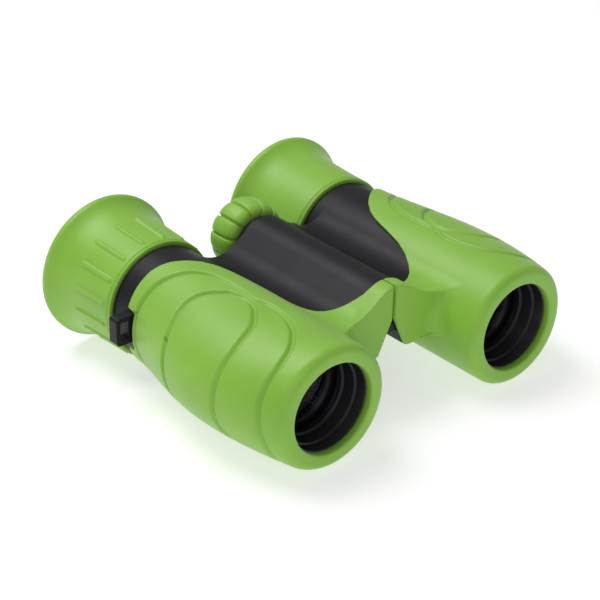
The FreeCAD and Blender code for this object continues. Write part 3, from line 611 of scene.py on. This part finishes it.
def turned_metal(name, dark, light, rough_low, rough_high, metallic, line_mm):
    """Metal cut on a lathe: fine rings along Y, seen as a stretched shine."""
    material, tree, shader, place = new_material(name)
    set_shader(shader, ("Metallic", metallic))
    y = add_node(tree, "SeparateXYZ", (), [("Vector", place)]).outputs["Y"]
    rings = add_node(tree, "TexNoise", [("noise_dimensions", "1D"), ("Scale", per_mm(line_mm)),
                                        ("Detail", 2.0)], [("W", y)])
    tone = two_tones(tree, rings.outputs["Fac"], 0.3, 0.7, colour(dark), colour(light))
    tree.links.new(tone, shader.inputs["Base Color"])
    rough = add_node(tree, "MapRange", [("From Min", 0.3), ("From Max", 0.7), ("To Min", rough_low),
                                        ("To Max", rough_high)], [("Value", rings.outputs["Fac"])])
    tree.links.new(rough.outputs["Result"], shader.inputs["Roughness"])
    bump = add_node(tree, "Bump", [("Strength", 0.2), ("Distance", 0.01 * MM)],
                    [("Height", rings.outputs["Fac"])])
    tree.links.new(bump.outputs["Normal"], shader.inputs["Normal"])
    return material


FINISHES = {
    "green_rubber": green_rubber(),
    "black_abs": black_abs("satin_abs_black", 0.22, 0.44, 0.5),
    # the same plastic from a polished tool, for the light traps in the front openings
    "polished_abs": black_abs("polished_abs_black", 0.28, 0.26, 0.32),
    "coated_glass": coated_glass(),
    "prism_glass": prism_glass(),
    # spring steel strip, cold rolled and blued: grey and fairly bright
    "spring_steel": turned_metal("blued_spring_steel", "#6A6C72", "#84868C", 0.25, 0.35, 1.0, 0.2),
    "black_aluminium": anodised_aluminium(),
    # free-cutting steel, turned and chemically blacked, for the hinge
    "black_steel": turned_metal("blacked_steel", "#1C1C1F", "#28282B", 0.35, 0.5, 0.6, 0.15),
    # free-cutting steel, turned and nickel plated
    "steel": turned_metal("nickel_plated_steel", "#B4B5B8", "#CDCED0", 0.2, 0.32, 1.0, 0.15),
    # free-cutting brass as it comes off the lathe
    "brass": turned_metal("turned_brass", "#B8934A", "#CDA85C", 0.22, 0.34, 1.0, 0.15),
}


# ---- the pieces --------------------------------------------------------------
def node_finish(name):
    """The finish that a CAD node keeps, from its own material slot."""
    for slot, nodes in SLOT_NODES.items():
        if any(name.endswith(part) for part in nodes):
            return FINISHES[slot]
    return FINISHES["black_abs"]


SLOT_NODES = {
    "green_rubber": ("armour", "eyecup", "tyre"),
    "coated_glass": ("objective_crown", "eye_lens"),
    "prism_glass": ("half_penta_prism", "roof_prism", "objective_flint", "field_lens"),
    "polished_abs": ("objective_baffle", "objective_cell"),
    "spring_steel": ("prism_clip", "focus_arm"),
    "black_aluminium": ("objective_retainer", "eyepiece_retainer"),
    "black_steel": ("hinge_axle", "hinge_nut"),
    "steel": ("wheel_cap_screw", "cross_pins"),
    "brass": ("focus_nut", "focus_screw"),
}

for name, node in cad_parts.items():
    for index in range(max(1, len(node.material_slots))):
        if not node.material_slots:
            node.data.materials.append(None)
        node.material_slots[index].material = node_finish(name)

wave_tree = wave_lines()
for side, body in (("right", "right_body"), ("left", "left_body")):
    skin = armour(wave_tree)
    if side == "left":
        mirrored(skin)
    finished(side + "_rubber_skin", skin, body, "green_rubber", FINISHES["green_rubber"],
             side + "_armour")

right_cup = eyecup(True)
finished("right_eyecup_rubber", right_cup, "dioptre", "green_rubber", FINISHES["green_rubber"],
         "right_eyecup")
left_cup = eyecup(False)
mirrored(left_cup)
finished("left_eyecup_rubber", left_cup, "left_body", "green_rubber", FINISHES["green_rubber"],
         "left_eyecup")
for side, body in (("right", "right_body"), ("left", "left_body")):
    trap = light_trap()
    if side == "left":
        mirrored(trap)
    finished(side + "_light_trap", trap, body, "black_abs", FINISHES["polished_abs"],
             side + "_objective_baffle")
finished("wheel_rubber", wheel_tyre(), "focus_wheel", "green_rubber", FINISHES["green_rubber"],
         "focus_wheel_tyre")


# ---- stage -------------------------------------------------------------------
def floor():
    """White back-lit table top, tilted so that the eyecup rims and the front barrels rest on it."""
    rest_rear = Vector((0, 48.4, -20.8))
    rest_front = Vector((0, -44.0, -16.95))
    slope = (rest_rear - rest_front).normalized()
    bm = bmesh.new()
    bmesh.ops.create_grid(bm, x_segments=4, y_segments=4, size=4000)
    tilt = math.atan2(slope.z, slope.y)
    bmesh.ops.rotate(bm, cent=(0, 0, 0), matrix=Matrix.Rotation(tilt, 3, "X"), verts=bm.verts)
    drop = rest_front.z - rest_front.y * math.tan(tilt) - 0.05
    bmesh.ops.translate(bm, vec=(0, 0, drop), verts=bm.verts)
    bmesh.ops.scale(bm, vec=(MM, MM, MM), verts=bm.verts)
    mesh = bpy.data.meshes.new("table_top")
    bm.to_mesh(mesh)
    bm.free()
    material, _, shader, _ = new_material("white_laminate")
    set_shader(shader, ("Roughness", 0.6), ("Base Color", colour("#BEBEBE")),
               ("Emission Color", colour("#FFFFFF")), ("Emission Strength", 0.6))
    mesh.materials.append(material)
    top = bpy.data.objects.new("table_top", mesh)
    bpy.context.scene.collection.objects.link(top)


def camera():
    """Camera at the front left, above the user's right-hand barrel."""
    azimuth, height, roll = math.radians(-40.83), math.radians(28.77), math.radians(1.137)
    back = Vector((math.sin(azimuth) * math.cos(height), -math.cos(azimuth) * math.cos(height),
                   math.sin(height)))
    level = Vector((math.cos(azimuth), math.sin(azimuth), 0))
    upright = back.cross(level)
    right = level * math.cos(roll) + upright * math.sin(roll)
    up = upright * math.cos(roll) - level * math.sin(roll)
    data = bpy.data.cameras.new("view")
    data.sensor_width = 36
    data.lens = 101.75
    data.clip_start = 0.01
    made = bpy.data.objects.new("view", data)
    turn = Matrix((right, up, back)).transposed().to_4x4()
    made.matrix_world = Matrix.Translation(Vector((-0.26448, -0.30409, 0.21964))) @ turn
    bpy.context.scene.collection.objects.link(made)
    bpy.context.scene.camera = made


def softbox(name, place, size, watts):
    """A square studio light that looks at the middle of the object."""
    data = bpy.data.lights.new(name, "AREA")
    data.size = size
    data.energy = watts
    made = bpy.data.objects.new(name, data)
    made.location = place
    made.rotation_euler = (Vector((0, 0, 0)) - Vector(place)).to_track_quat("-Z", "Y").to_euler()
    bpy.context.scene.collection.objects.link(made)


floor()
camera()
softbox("key", (-0.15, 0.35, 0.75), 0.5, 5.0)
softbox("fill", (-0.5, -0.65, 0.42), 0.6, 1.5)
world = bpy.data.worlds.new("studio")
world.use_nodes = True
world.node_tree.nodes["Background"].inputs["Color"].default_value = (1, 1, 1, 1)
world.node_tree.nodes["Background"].inputs["Strength"].default_value = 0.32
bpy.context.scene.world = world
bpy.context.scene.view_settings.view_transform = "Standard"
